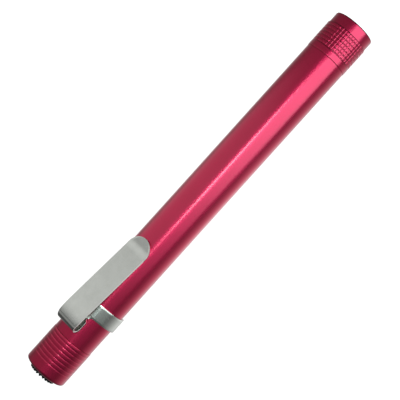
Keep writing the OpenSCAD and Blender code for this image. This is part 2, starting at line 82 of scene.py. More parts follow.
TOWARDS_CAMERA = Vector((0, -sin(VIEW_TILT), cos(VIEW_TILT)))
LEFT_OF_PEN = Vector((0, cos(VIEW_TILT), sin(VIEW_TILT)))
IMAGE_UP = PEN_RUN.y * Vector((1, 0, 0)) + PEN_RUN.x * LEFT_OF_PEN
IMAGE_RIGHT = IMAGE_UP.cross(TOWARDS_CAMERA)

camera_data = bpy.data.cameras.new("camera")
camera_data.lens = VIEW_LENS
camera_data.sensor_width = SENSOR_W
camera = bpy.data.objects.new("camera", camera_data)
bpy.context.scene.collection.objects.link(camera)
AIM = at(MIDDLE_S + AIM_ALONG, 0, 0) - AIM_RIGHT * MM * LEFT_OF_PEN
camera.matrix_world = Matrix.Translation(AIM + VIEW_DISTANCE * MM * TOWARDS_CAMERA) @ Matrix(
    (IMAGE_RIGHT, IMAGE_UP, TOWARDS_CAMERA)).transposed().to_4x4()
bpy.context.scene.camera = camera


# Materials
def linear(hex_colour):
    """An sRGB hex colour as a linear colour."""
    parts = [int(hex_colour[i:i + 2], 16) / 255 for i in (1, 3, 5)]
    return [p / 12.92 if p <= 0.04045 else ((p + 0.055) / 1.055) ** 2.4 for p in parts] + [1.0]


def add_node(tree, kind, inputs=None, **settings):
    """Adds a node with its settings; an input is a value or the socket that it is linked from."""
    made = tree.nodes.new(kind)
    for name, value in settings.items():
        setattr(made, name, value)
    for name, value in (inputs or {}).items():
        if isinstance(value, bpy.types.NodeSocket):
            tree.links.new(value, made.inputs[name])
        else:
            made.inputs[name].default_value = value
    return made


def finish(name):
    """A new material with its node tree, its shader and its Object coordinates."""
    material = bpy.data.materials.new(name)
    material.use_nodes = True
    tree = material.node_tree
    shader = tree.nodes["Principled BSDF"]
    place = add_node(tree, "ShaderNodeTexCoord").outputs["Object"]
    return material, tree, shader, place


def set_shader(shader, **values):
    """Sets constants straight on the shader's sockets, with underscores for the spaces in their names."""
    for name, value in values.items():
        shader.inputs[name.replace("_", " ")].default_value = value


def per_mm(size_mm):
    """Pattern scale that gives a feature of this size, since Object coordinates are in metres."""
    return 1.0 / (size_mm * MM)


def tinted(tree, shader, noise, dark, light):
    """Runs the base colour between two close shades of the finish, by a noise pattern."""
    ramp = add_node(tree, "ShaderNodeValToRGB", {"Fac": noise})
    for element, position, shade in zip(ramp.color_ramp.elements, (0.3, 0.7), (dark, light)):
        element.position = position
        element.color = linear(shade)
    tree.links.new(ramp.outputs["Color"], shader.inputs["Base Color"])


def roughened(tree, shader, noise, low, high):
    """Runs the roughness between two values, by a noise pattern."""
    spread = add_node(tree, "ShaderNodeMapRange", {"Value": noise, "To Min": low, "To Max": high})
    tree.links.new(spread.outputs["Result"], shader.inputs["Roughness"])


def bumped(tree, shader, height, depth_mm):
    """A bump of this depth from a height pattern."""
    bump = add_node(tree, "ShaderNodeBump", {"Height": height, "Distance": depth_mm * MM, "Strength": 1.0})
    tree.links.new(bump.outputs["Normal"], shader.inputs["Normal"])


def anodised_aluminium():
    """Turned aluminium, dyed red under a clear oxide skin: deep crimson metal with pink highlights, a soft sheen
    spread along the tube by the lathe's fine rings, and paler grazing edges from the oxide."""
    material, tree, shader, place = finish("red_anodised_aluminium")
    set_shader(shader, Metallic=1.0, Coat_Weight=1.0, Coat_Roughness=0.18, Coat_IOR=1.5)
    blotch = add_node(tree, "ShaderNodeTexNoise", {"Vector": place, "Scale": per_mm(9.0), "Detail": 2.0})
    tinted(tree, shader, blotch.outputs["Fac"], "#d0164d", "#d61851")
    split = add_node(tree, "ShaderNodeSeparateXYZ", {"Vector": place})
    # the lathe's rings, drawn 0.25 mm apart so that they show
    rings = add_node(tree, "ShaderNodeTexNoise", {"W": split.outputs["X"], "Scale": per_mm(0.25), "Detail": 2.0},
                     noise_dimensions="1D")
    roughened(tree, shader, rings.outputs["Fac"], 0.28, 0.34)
    bumped(tree, shader, rings.outputs["Fac"], 0.0004)
    return material


def satin_steel():
    """Rolled spring-steel sheet, tumbled after stamping: an even, slightly warm satin grey with a fine grain."""
    material, tree, shader, place = finish("satin_spring_steel")
    set_shader(shader, Metallic=1.0)
    cloud = add_node(tree, "ShaderNodeTexNoise", {"Vector": place, "Scale": per_mm(3.0), "Detail": 3.0})
    tinted(tree, shader, cloud.outputs["Fac"], "#d5d8d2", "#dcdfd9")
    grain = add_node(tree, "ShaderNodeTexNoise", {"Vector": place, "Scale": per_mm(0.2), "Detail": 2.0})
    roughened(tree, shader, grain.outputs["Fac"], 0.18, 0.25)
    bumped(tree, shader, grain.outputs["Fac"], 0.001)
    return material


def cut_steel():
    """The sheet's sheared and tumbled edge: brighter and smoother than its faces."""
    material, tree, shader, place = finish("cut_steel_edge")
    set_shader(shader, Metallic=1.0)
    cloud = add_node(tree, "ShaderNodeTexNoise", {"Vector": place, "Scale": per_mm(0.6), "Detail": 2.0})
    tinted(tree, shader, cloud.outputs["Fac"], "#e6e4e2", "#f2f0ee")
    roughened(tree, shader, cloud.outputs["Fac"], 0.2, 0.3)
    return material


def moulded_plastic(name, dark, light, low, high):
    """Injection-moulded plastic: one colour all through, with a fine spark-eroded grain that dulls the shine."""
    material, tree, shader, place = finish(name)
    set_shader(shader, IOR=1.42)
    cloud = add_node(tree, "ShaderNodeTexNoise", {"Vector": place, "Scale": per_mm(2.0), "Detail": 2.0})
    tinted(tree, shader, cloud.outputs["Fac"], dark, light)
    grain = add_node(tree, "ShaderNodeTexNoise", {"Vector": place, "Scale": per_mm(0.12), "Detail": 2.0})
    roughened(tree, shader, grain.outputs["Fac"], low, high)
    bumped(tree, shader, grain.outputs["Fac"], 0.006)
    return material


def plain_metal(name, dark, light, low, high):
    """Turned or drawn metal inside the light: a clean colour with fine tool marks round the axis."""
    material, tree, shader, place = finish(name)
    set_shader(shader, Metallic=1.0)
    cloud = add_node(tree, "ShaderNodeTexNoise", {"Vector": place, "Scale": per_mm(2.5), "Detail": 3.0})
    tinted(tree, shader, cloud.outputs["Fac"], dark, light)
    split = add_node(tree, "ShaderNodeSeparateXYZ", {"Vector": place})
    marks = add_node(tree, "ShaderNodeTexNoise", {"W": split.outputs["X"], "Scale": per_mm(0.2), "Detail": 1.0},
                     noise_dimensions="1D")
    roughened(tree, shader, marks.outputs["Fac"], low, high)
    bumped(tree, shader, marks.outputs["Fac"], 0.002)
    return material


def clear_glass():
    """Clear pressed glass of the lens: sharp reflections and a faint green-blue cast."""
    material, tree, shader, place = finish("clear_lens_glass")
    set_shader(shader, Base_Color=linear("#f4fafa"), IOR=1.5, Transmission_Weight=1.0)
    haze = add_node(tree, "ShaderNodeTexNoise", {"Vector": place, "Scale": per_mm(1.5), "Detail": 2.0})
    roughened(tree, shader, haze.outputs["Fac"], 0.0, 0.03)
    return material


def lamp_silicone():
    """Silicone dome over the lamp's yellow phosphor: glossy, and soft yellow all through."""
    material, tree, shader, place = finish("phosphor_silicone")
    set_shader(shader, IOR=1.41, Coat_Weight=1.0, Coat_Roughness=0.05, Subsurface_Weight=0.2,
               Subsurface_Radius=(0.001, 0.0006, 0.0002))
    speck = add_node(tree, "ShaderNodeTexNoise", {"Vector": place, "Scale": per_mm(0.15), "Detail": 2.0})
    tinted(tree, shader, speck.outputs["Fac"], "#e8cf55", "#f4e27a")
    roughened(tree, shader, speck.outputs["Fac"], 0.2, 0.3)
    return material


RED = anodised_aluminium()
STEEL = satin_steel()
CUT = cut_steel()
BLACK = moulded_plastic("black_abs", "#070707", "#0c0c0c", 0.45, 0.6)
WHITE = moulded_plastic("white_acetal", "#dcd9d0", "#e8e6df", 0.35, 0.5)
LEADS = moulded_plastic("red_lead_insulation", "#a02620", "#b8342c", 0.35, 0.5)
BOARD = moulded_plastic("glass_fibre_board", "#2a6340", "#32724b", 0.4, 0.55)
LAMP_BOARD = moulded_plastic("white_masked_board", "#e6e6e0", "#f2f2ee", 0.35, 0.5)
RUBBER = moulded_plastic("black_nitrile_rubber", "#161616", "#1e1e1d", 0.5, 0.65)
JACKET = moulded_plastic("cell_jacket_film", "#3a4047", "#454c54", 0.25, 0.35)
BRASS = plain_metal("turned_brass", "#b8913f", "#cda653", 0.25, 0.36)
SPRING = plain_metal("plated_spring_wire", "#b9bcbe", "#c9cccd", 0.22, 0.32)
ALUMINIUM = plain_metal("turned_aluminium", "#b4b8bc", "#c4c8cb", 0.3, 0.42)
MIRROR = plain_metal("metallised_reflector", "#e6e8ea", "#f0f2f3", 0.06, 0.1)
GLASS = clear_glass()
LAMP = lamp_silicone()

NODE_FINISHES = {
    "tail_oring": RUBBER, "head_oring": RUBBER, "lens_oring": RUBBER,
    "cell_rear": JACKET, "cell_front": JACKET,
    "switch_plunger": WHITE, "switch_rotor": WHITE, "switch_housing": BLACK, "switch_base": BOARD,
    "contact_disc": BRASS, "earth_ring": BRASS, "tail_contact": BRASS, "front_contact": BRASS, "led_holder": BRASS,
    "tail_spring": SPRING, "retaining_ring": ALUMINIUM,
    "led_board": LAMP_BOARD, "driver_board": BOARD, "led_leads": LEADS,
}
for node_name, node_finish in NODE_FINISHES.items():
    for node_slot in NODES[node_name].material_slots:
        node_slot.material = node_finish


# Modelling
MERGE = 0.002
NEAR = 0.01
TURN_NEAR = 0.1


def select_where(piece, wanted, kind="VERT"):
    """In edit mode, selects the vertices, or the faces, whose place is wanted, and nothing else."""
    bpy.ops.mesh.select_mode(type=kind)
    bpy.ops.mesh.select_all(action="DESELECT")
    bpy.ops.object.mode_set(mode="OBJECT")
    if kind == "VERT":
        for vertex in piece.data.vertices:
            vertex.select = wanted(vertex.co)
    else:
        for face in piece.data.polygons:
            face.select = wanted(face.center)
    bpy.ops.object.mode_set(mode="EDIT")


def named(name):
    """Names the primitive that was just added, and puts its place and size into its mesh."""
    piece = bpy.context.object
    piece.name = piece.data.name = name
    bpy.ops.object.transform_apply(location=True, rotation=True, scale=True)
    return piece


def merge_doubles():
    """In edit mode, joins the points of the whole mesh that lie on each other, and points its faces outwards."""
    bpy.ops.mesh.select_all(action="SELECT")
    bpy.ops.mesh.remove_doubles(threshold=MERGE)
    bpy.ops.mesh.normals_make_consistent(inside=False)


def turned_angle(place):
    """Angle of a place round the axis, in degrees from 0 to 360, from +Y towards +Z."""
    return degrees(atan2(place.z, place.y)) % 360


def turned(name, section, segments, capped=False, roll=0.0):
    """Turns a section, a list of (s, radius), round the axis: a circle is extruded and sized from point to point.
    The section is closed on itself, or capped at both ends. The roll turns its corners round the axis."""
    bpy.ops.object.select_all(action="DESELECT")
    s, r = section[0]
    bpy.ops.mesh.primitive_circle_add(vertices=segments, radius=r, location=(s, 0, 0), rotation=(0, pi / 2, 0))
    piece = named(name)
    piece.rotation_euler.x = roll
    bpy.ops.object.transform_apply(location=True, rotation=True, scale=True)
    bpy.ops.object.mode_set(mode="EDIT")
    bpy.ops.mesh.select_mode(type="EDGE")
    bpy.ops.mesh.select_all(action="SELECT")
    if capped:
        bpy.ops.mesh.edge_face_add()
        bpy.ops.mesh.select_mode(type="EDGE")
    for next_s, next_r in section[1:] + ([] if capped else section[:1]):
        bpy.ops.mesh.extrude_edges_move(TRANSFORM_OT_translate={"value": (next_s - s, 0, 0)})
        if next_r != r:
            bpy.ops.transform.resize(value=(1, next_r / r, next_r / r), center_override=(next_s, 0, 0))
        s, r = next_s, next_r
    if capped:
        bpy.ops.mesh.edge_face_add()
    merge_doubles()
    return piece


def apply_modifier(piece, kind, **settings):
    """Adds a modifier with its settings and applies it."""
    bpy.ops.object.mode_set(mode="OBJECT")
    modifier = piece.modifiers.new(kind.lower(), kind)
    for name, value in settings.items():
        setattr(modifier, name, value)
    bpy.ops.object.modifier_apply(modifier=modifier.name)


def softened(piece, width, segments=2, angle=30.0):
    """Breaks every sharp edge with a small round, so that edges catch the light."""
    apply_modifier(piece, "BEVEL", width=width, segments=segments, limit_method="ANGLE", angle_limit=radians(angle))


def set_down(piece, body, node_slot, finishes, *nodes, smooth=30.0):
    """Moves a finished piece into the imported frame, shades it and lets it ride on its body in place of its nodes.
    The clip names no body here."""
    if bpy.context.mode != "OBJECT":
        bpy.ops.object.mode_set(mode="OBJECT")
    bpy.ops.object.select_all(action="DESELECT")
    piece.select_set(True)
    bpy.context.view_layer.objects.active = piece
    piece.scale = (MM, MM, MM)
    piece.location = (TAIL_X, 0, AXIS_Z)
    bpy.ops.object.transform_apply(location=True, rotation=True, scale=True)
    bpy.ops.object.shade_smooth_by_angle(angle=radians(smooth))
    apply_modifier(piece, "WEIGHTED_NORMAL", mode="FACE_AREA", keep_sharp=True)
    for material in finishes:
        piece.data.materials.append(material)
    if body:
        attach(piece, body)
    if nodes:
        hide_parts(*nodes)


def arc(centre_s, centre_r, radius, start, end, steps):
    """Points of an arc in a section, from one angle to another in degrees, 0 along +s and 90 outwards."""
    turns = [radians(start + (end - start) * i / steps) for i in range(steps + 1)]
    return [(centre_s + radius * cos(a), centre_r + radius * sin(a)) for a in turns]


# Sizes of the visible pieces, in millimetres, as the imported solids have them
BARREL_R = 6.75
BORE_R = 5.45
SEAL_R = 5.85
SKIRT_R = 6.2
SEAL_SEAT_R = 6.45
CAP_R = 6.875
TAIL_SEAM = 12.5
HEAD_SEAM = 122.7
SPIGOT_START = 7.0
SPIGOT_END = 127.2
SEAL_W = 0.66
CHAMFER = 0.07
THREAD_ROOT_R = 5.97
THREAD_CREST_R = 6.17
THREAD_PITCH = 0.75
THREAD_FOOT_W = 0.56
THREAD_TOP_SHARE = 0.2
THREAD_SINK = 0.1
THREAD_STEPS = 72
TAIL_THREAD_START = SPIGOT_START + 0.45
TAIL_THREAD_TURNS = 5
HEAD_THREAD_START = HEAD_SEAM + 1.05
HEAD_THREAD_TURNS = 4
SPIGOT_LEAD = 0.12
TUBE_STEPS = 192
TUBE_EDGE = 0.04


def make_barrel():
    """Tube with a chamfered shoulder at each seam and a spigot at each end."""
    section = [
        (SPIGOT_START, BORE_R), (SPIGOT_START, SEAL_R), (SPIGOT_START + SPIGOT_LEAD, THREAD_ROOT_R),
        (TAIL_SEAM - SEAL_W - SPIGOT_LEAD, THREAD_ROOT_R), (TAIL_SEAM - SEAL_W, SEAL_R),
        (TAIL_SEAM, SEAL_R), (TAIL_SEAM, BARREL_R - CHAMFER), (TAIL_SEAM + CHAMFER, BARREL_R),
        (HEAD_SEAM - CHAMFER, BARREL_R), (HEAD_SEAM, BARREL_R - CHAMFER), (HEAD_SEAM, SEAL_R),
        (HEAD_SEAM + SEAL_W, SEAL_R), (HEAD_SEAM + SEAL_W + SPIGOT_LEAD, THREAD_ROOT_R),
        (SPIGOT_END - SPIGOT_LEAD, THREAD_ROOT_R), (SPIGOT_END, SEAL_R), (SPIGOT_END, BORE_R),
    ]
    piece = turned("barrel_tube", section, TUBE_STEPS)
    softened(piece, TUBE_EDGE)
    set_down(piece, "barrel", "red_anodised_aluminium", [RED], "barrel")


def make_thread(name, start, turns):
    """A rolled thread on a spigot: a flat-topped ridge wound round it."""
    middle_r = (THREAD_ROOT_R + THREAD_CREST_R) / 2
    bpy.ops.object.select_all(action="DESELECT")
    bpy.ops.mesh.primitive_plane_add(size=1.0, location=(start, 0, middle_r), rotation=(pi / 2, 0, 0))
    bpy.context.object.scale = (THREAD_FOOT_W, THREAD_CREST_R - THREAD_ROOT_R + THREAD_SINK, 1)
    piece = named(name)
    bpy.ops.object.mode_set(mode="EDIT")
    select_where(piece, lambda place: place.z > middle_r)
    bpy.ops.transform.resize(value=(THREAD_TOP_SHARE, 1, 1), center_override=(start, 0, 0))
    bpy.ops.mesh.select_all(action="SELECT")
    bpy.ops.mesh.delete(type="ONLY_FACE")
    apply_modifier(piece, "SCREW", axis="X", angle=2 * pi, screw_offset=THREAD_PITCH, iterations=turns,
                   steps=THREAD_STEPS, render_steps=THREAD_STEPS, use_merge_vertices=False)
    bpy.ops.object.mode_set(mode="EDIT")
    bpy.ops.mesh.select_all(action="SELECT")
    bpy.ops.mesh.remove_doubles(threshold=MERGE)
    bpy.ops.mesh.select_all(action="DESELECT")
    bpy.ops.mesh.select_non_manifold(extend=False)
    bpy.ops.mesh.edge_face_add()
    bpy.ops.mesh.select_all(action="SELECT")
    bpy.ops.mesh.normals_make_consistent(inside=False)
    set_down(piece, "barrel", "red_anodised_aluminium", [RED])


CAP_EDGE_R = 0.9
CAP_EDGE_STEPS = 8
CAP_HOLE_R = 4.38
CAP_WALL = 1.4
CAP_POCKET_R = 5.28
CAP_POCKET_END = 6.9
GRIP_START = 3.8
GRIP_PITCH = 1.26
GRIP_COUNT = 7
GRIP_HALF = 0.27
GRIP_DEPTH = 0.028
GRIP_STEPS = 8
HOLE_EDGE = 0.12
CAP_EDGE = 0.05


def make_tail_cap():
    """Tail cap with a rounded end edge, a hole for the button and a row of shallow rounded grooves for grip."""
    section = [
        (TAIL_SEAM, SEAL_SEAT_R), (TAIL_SEAM, CAP_R - CHAMFER), (TAIL_SEAM - CHAMFER, CAP_R),
    ]
    for i in reversed(range(GRIP_COUNT)):
        middle = GRIP_START + i * GRIP_PITCH
        for k in range(GRIP_STEPS + 1):
            across = 1 - 2 * k / GRIP_STEPS
            section.append((middle + across * GRIP_HALF, CAP_R - GRIP_DEPTH * (0.5 + 0.5 * cos(pi * across))))
    section += arc(CAP_EDGE_R, CAP_R - CAP_EDGE_R, CAP_EDGE_R, 90, 180, CAP_EDGE_STEPS)
    section += [
        (0, CAP_HOLE_R + HOLE_EDGE), (HOLE_EDGE, CAP_HOLE_R), (CAP_WALL, CAP_HOLE_R), (CAP_WALL, CAP_POCKET_R),
        (CAP_POCKET_END, CAP_POCKET_R), (CAP_POCKET_END, SKIRT_R), (TAIL_SEAM - SEAL_W, SKIRT_R),
        (TAIL_SEAM - SEAL_W, SEAL_SEAT_R),
    ]
    piece = turned("tail_cap_shell", section, TUBE_STEPS)
    softened(piece, CAP_EDGE)
    set_down(piece, "tail_cap", "red_anodised_aluminium", [RED], "tail_cap")


BUTTON_R = 4.3
BUTTON_TOP = -1.3
BUTTON_RIM = 1.1
BUTTON_DISH = 0.5
BUTTON_TEETH = 22
BUTTON_TOOTH = 0.52
BUTTON_FLANGE_R = 5.08
BUTTON_BACK = 2.3
BUTTON_BORE_R = 1.2
BUTTON_BORE_DEPTH = 1.0
BUTTON_WALL_START = -0.4
CROWN_ROUND = 0.16
CROWN_MIDDLE = 0.05
CROWN_INNER_ROUND = 0.12
CROWN_DEPTH = 0.2
CROWN_EDGE = 0.04
DISH_ROUND = 0.05
DISH_SLOPE_W = 0.2
STEPS_PER_TOOTH = 12
# under 1 makes the gaps between the teeth wider than a plain wave does
TOOTH_WAVE = 0.8


def make_button():
    """Push button with a dished top and a crown of rounded teeth, pressed down between them in wave steps."""
    inner = BUTTON_R - BUTTON_RIM
    floor = BUTTON_TOP + BUTTON_DISH
    section = [
        (floor + DISH_ROUND, inner - DISH_ROUND - DISH_SLOPE_W), (floor, inner - DISH_ROUND),
        (BUTTON_TOP + CROWN_INNER_ROUND, inner), (BUTTON_TOP, inner + CROWN_INNER_ROUND),
        (BUTTON_TOP, inner + BUTTON_RIM / 2), (BUTTON_TOP, BUTTON_R - CROWN_ROUND),
        (BUTTON_TOP + CROWN_MIDDLE, BUTTON_R - CROWN_MIDDLE), (BUTTON_TOP + CROWN_ROUND, BUTTON_R),
        (BUTTON_WALL_START, BUTTON_R), (CAP_WALL, BUTTON_R), (CAP_WALL, BUTTON_FLANGE_R),
        (BUTTON_BACK, BUTTON_FLANGE_R), (BUTTON_BACK, BUTTON_BORE_R),
        (BUTTON_BACK - BUTTON_BORE_DEPTH, BUTTON_BORE_R),
    ]
    piece = turned("push_button", section, BUTTON_TEETH * STEPS_PER_TOOTH, capped=True)
    pitch = 360 / BUTTON_TEETH
    for step in range(1, STEPS_PER_TOOTH // 2 + 1):
        phase = 360 * step / STEPS_PER_TOOTH
        sink = BUTTON_TOOTH * (0.5 - 0.5 * cos(radians(phase))) ** TOOTH_WAVE

        def on_step(place, want=phase):
            turn = (turned_angle(place) % pitch) / pitch * 360
            off = min(abs(turn - want), abs(360 - turn - want))
            return place.x < BUTTON_TOP + CROWN_DEPTH and off < 180 / STEPS_PER_TOOTH

        select_where(piece, on_step)
        bpy.ops.transform.translate(value=(sink, 0, 0))
    softened(piece, CROWN_EDGE, angle=50.0)
    set_down(piece, "button", "black_plastic", [BLACK], "tail_button", smooth=50.0)


KNURL_START = 124.7
KNURL_ROWS = 6
KNURL_PITCH = 1.2
KNURL_COLUMNS = 40
KNURL_DEPTH = 0.095
BUMP_SLOPE = 0.16
BUMP_RIM = 0.05
GROOVE_FLOOR = 0.08
GROOVE_TURN = 0.6
KNURL_FLANK = 0.09
KNURL_EDGE = 0.03
# plain rings of faces beside the edges keep the bands between them flat in the light
BAND_KEEP = 0.2
KNURL_KEEP = 0.3
BEZEL_STEP = 0.04
BEZEL_R = 6.675
BEZEL_EDGE_R = 0.4
BEZEL_EDGE_STEPS = 6
FRONT_END = 135.4
LIP_R = 4.9
LIP_START = 134.2
LIP_EDGE = 0.15
HEAD_BORE_R = 5.7
HEAD_THREAD_END = 128.1


def make_head():
    """Head with a plain band, six rows of square knurl raised from a turned floor, and a plain front band."""
    floor_r = CAP_R - KNURL_DEPTH
    knurl_end = KNURL_START + KNURL_ROWS * KNURL_PITCH
    section = [
        (HEAD_SEAM, SEAL_SEAT_R), (HEAD_SEAM, CAP_R - CHAMFER), (HEAD_SEAM + CHAMFER, CAP_R),
        (HEAD_SEAM + CHAMFER + BAND_KEEP, CAP_R), (KNURL_START - KNURL_KEEP, CAP_R),
        (KNURL_START - KNURL_FLANK, CAP_R), (KNURL_START + KNURL_FLANK, floor_r),
    ]
    rows = []
    for i in range(KNURL_ROWS):
        low = KNURL_START + i * KNURL_PITCH + KNURL_FLANK + GROOVE_FLOOR
        high = min(KNURL_START + (i + 1) * KNURL_PITCH + KNURL_FLANK, knurl_end - BEZEL_STEP / 2)
        rows.append((low, high))
        section += [(low, floor_r), (high, floor_r)]
    section += [(knurl_end, floor_r), (knurl_end + BEZEL_STEP, BEZEL_R), (knurl_end + BAND_KEEP, BEZEL_R)]
    section += arc(FRONT_END - BEZEL_EDGE_R, BEZEL_R - BEZEL_EDGE_R, BEZEL_EDGE_R, 90, 0, BEZEL_EDGE_STEPS)
    section += [
        (FRONT_END, LIP_R + LIP_EDGE), (FRONT_END - LIP_EDGE, LIP_R), (LIP_START, LIP_R), (LIP_START, HEAD_BORE_R),
        (HEAD_THREAD_END, HEAD_BORE_R), (HEAD_THREAD_END, SKIRT_R), (HEAD_SEAM + SEAL_W, SKIRT_R),
        (HEAD_SEAM + SEAL_W, SEAL_SEAT_R),
    ]
    steps = 4 * KNURL_COLUMNS
    piece = turned("head_shell", section, steps, roll=pi / steps)
    # four even steps for each column become three wide ones, for the bump, and a narrow one, for the groove
    pitch = 360 / KNURL_COLUMNS
    bump = pitch - GROOVE_TURN
    for even, wanted in ((-3 / 8 * pitch, -bump / 2), (-pitch / 8, -bump / 6), (pitch / 8, bump / 6),
                         (3 / 8 * pitch, bump / 2)):
        select_where(piece, lambda place, e=even:
                     abs((turned_angle(place) - e + pitch / 2) % pitch - pitch / 2) < TURN_NEAR)
        bpy.ops.transform.rotate(value=radians(even - wanted), orient_axis="X", center_override=(0, 0, 0))

    def in_bump(place):
        turn = (turned_angle(place) + pitch / 2) % pitch
        radius = sqrt(place.y ** 2 + place.z ** 2)
        in_row = any(low < place.x < high for low, high in rows)
        in_column = GROOVE_TURN / 2 < turn < pitch - GROOVE_TURN / 2
        return in_row and in_column and abs(radius - floor_r) < KNURL_DEPTH / 2

    select_where(piece, in_bump, "FACE")
    bpy.ops.mesh.inset(thickness=BUMP_SLOPE, depth=KNURL_DEPTH, use_even_offset=True, use_boundary=True)
    bpy.ops.mesh.inset(thickness=BUMP_RIM, use_even_offset=True, use_boundary=True)
    softened(piece, KNURL_EDGE, angle=18.0)
    set_down(piece, "head", "red_anodised_aluminium", [RED], "head")


LENS_START = 132.6
LENS_END = 133.8
LENS_R = 5.65
LENS_EDGE = 0.12
LENS_STEPS = 128


def make_lens():
    """Flat pressed lens with ground edges."""
    piece = turned("lens_glass", [
        (LENS_START, LENS_R - LENS_EDGE), (LENS_START + LENS_EDGE, LENS_R), (LENS_END - LENS_EDGE, LENS_R),
        (LENS_END, LENS_R - LENS_EDGE),
    ], LENS_STEPS, capped=True)
    set_down(piece, "head", "clear_lens", [GLASS], "lens")


REFLECTOR_START = 127.8
REFLECTOR_HOLE_R = 2.6
REFLECTOR_RIM = 0.45
REFLECTOR_EDGE = 0.05
BOWL_STEPS = 24


def make_reflector():
    """Smooth metallised bowl that widens as a paraboloid from the lamp's hole to a flat front rim."""
    front = LENS_R - REFLECTOR_RIM
    length = LENS_START - REFLECTOR_START
    bowl = [
        (REFLECTOR_START + length * i / BOWL_STEPS,
         sqrt(REFLECTOR_HOLE_R ** 2 + (front ** 2 - REFLECTOR_HOLE_R ** 2) * i / BOWL_STEPS))
        for i in range(BOWL_STEPS + 1)
    ]
    piece = turned("reflector_bowl", [(LENS_START, LENS_R), (REFLECTOR_START, LENS_R)] + bowl, LENS_STEPS)
    softened(piece, REFLECTOR_EDGE)
    set_down(piece, "reflector", "bright_reflector", [MIRROR], "reflector")


LED_W = 3.5
LED_T = 0.5
LED_RIM = 0.35
LED_RECESS = 0.06
LED_EDGE = 0.05
LED_DOME_R = 1.25
DOME_FOOT = 0.1
DOME_STEPS = 16
DOME_LAST_TURN = 88


def make_lamp():
    """Lamp chip: a white ceramic base with a recess that the dome stands in."""
    bpy.ops.object.select_all(action="DESELECT")
    bpy.ops.mesh.primitive_cube_add(size=1.0, location=(REFLECTOR_START + LED_T / 2, 0, 0))
    bpy.context.object.scale = (LED_T, LED_W, LED_W)
    piece = named("lamp_chip")
    bpy.ops.object.mode_set(mode="EDIT")
    select_where(piece, lambda place: place.x > REFLECTOR_START + LED_T - NEAR, "FACE")
    bpy.ops.mesh.inset(thickness=LED_RIM)
    bpy.ops.mesh.inset(thickness=LED_RECESS, depth=-LED_RECESS)
    softened(piece, LED_EDGE)
    set_down(piece, "barrel", "white_plastic", [LAMP_BOARD])


def make_dome():
    """The chip's dome: the front half of a ball, sized in rings from its foot to its pole."""
    front = REFLECTOR_START + LED_T
    section = [(front - DOME_FOOT, LED_DOME_R)]
    section += [(front + LED_DOME_R * sin(turn), LED_DOME_R * cos(turn))
                for turn in (radians(DOME_LAST_TURN * i / DOME_STEPS) for i in range(DOME_STEPS + 1))]
    piece = turned("lamp_dome", section, LENS_STEPS // 2, capped=True)
    set_down(piece, "barrel", "led_silicone", [LAMP], "led", smooth=60.0)


SHEET = 0.6
RING_START = 21.8
RING_W = 4.6
RING_MID_R = 7.08
RING_END_TURN = 143.6
RING_STEPS = 62
RING_PARTS = (0.12, 0.13, 0.25, 0.25, 0.13, 0.12)
RING_STEP = 2 * RING_END_TURN / RING_STEPS
NECK_STEPS = 5
NECK_TURN = NECK_STEPS * RING_STEP
NECK_HALF = RING_MID_R * sin(radians(NECK_TURN))
# how far the points beside the neck, and those at the ring's open ends, move to round its corners
NECK_CORNER = (-0.75, -0.22, -0.04)
END_CORNER = (0.55, 0.1)
TONGUE_HALF = 3.4
FOLD_S = 17.81
FOLD_H = 8.89
FOLD_MID_R = 1.81
FOLD_HALF = 3.6
FOLD_STEPS = 28
# stations from the ring to the fold: the place along the tube, half the width, and how much of the ring's
# roundness is left
NECK_STATIONS = (
    (20.85, NECK_HALF, 0.45), (20.6, NECK_HALF + 0.03, 0), (20.35, NECK_HALF + 0.15, 0),
    (20.1, TONGUE_HALF - 0.2, 0), (19.8, TONGUE_HALF - 0.03, 0), (19.4, TONGUE_HALF, 0), (18.6, TONGUE_HALF, 0),
    (FOLD_S, TONGUE_HALF, 0),
)
WIDENING = 3.6
ARM_HALF = 4.03
BOW_R = 36.7
BOW_CENTRE_H = FOLD_H + FOLD_MID_R - BOW_R
SHEET_EDGE = 0.07
BOW_STEPS = 8
FALL_STEPS = 8
BEND_STEPS = 4
ROUND_STEPS = 15
DIP_S = 45.1
DIP_H = 7.2
DIP_BEND = 1.5
TIP_S = 49.0
TIP_H = 7.44
TIP_SLOPE = (TIP_H - DIP_H) / (TIP_S - DIP_S)
# the arm's straight part touches the bow and passes through the dip
ARM_FALL = (pi / 2 - atan2(DIP_H - BOW_CENTRE_H, DIP_S - FOLD_S)
            - acos(BOW_R / hypot(DIP_S - FOLD_S, DIP_H - BOW_CENTRE_H)))
BOW_END = FOLD_S + BOW_R * sin(ARM_FALL)
ROUND_START = TIP_S - ARM_HALF


def turn_from_top(place):
    """Angle of a place round the axis, in degrees from the top, on either side."""
    return abs(degrees(atan2(place.y, place.z)))


def draw_ring():
    """The clip's split ring: a line along the axis, spun from one end of the gap to the other."""
    bpy.ops.object.select_all(action="DESELECT")
    bpy.ops.mesh.primitive_plane_add(size=1.0)
    piece = bpy.context.object
    piece.name = piece.data.name = "pocket_clip"
    bpy.ops.object.mode_set(mode="EDIT")
    bpy.ops.mesh.select_mode(type="VERT")
    bpy.ops.mesh.select_all(action="SELECT")
    bpy.ops.mesh.merge(type="CENTER")
    end = radians(RING_END_TURN)
    bpy.ops.transform.translate(value=(RING_START, -RING_MID_R * sin(end), RING_MID_R * cos(end)))
    for part in RING_PARTS:
        bpy.ops.mesh.extrude_vertices_move(TRANSFORM_OT_translate={"value": (RING_W * part, 0, 0)})
    bpy.ops.mesh.select_all(action="SELECT")
    bpy.ops.mesh.spin(steps=RING_STEPS, angle=2 * end, center=(0, 0, 0), axis=(1, 0, 0))
    bpy.ops.mesh.select_all(action="SELECT")
    bpy.ops.mesh.remove_doubles(threshold=MERGE)
    return piece


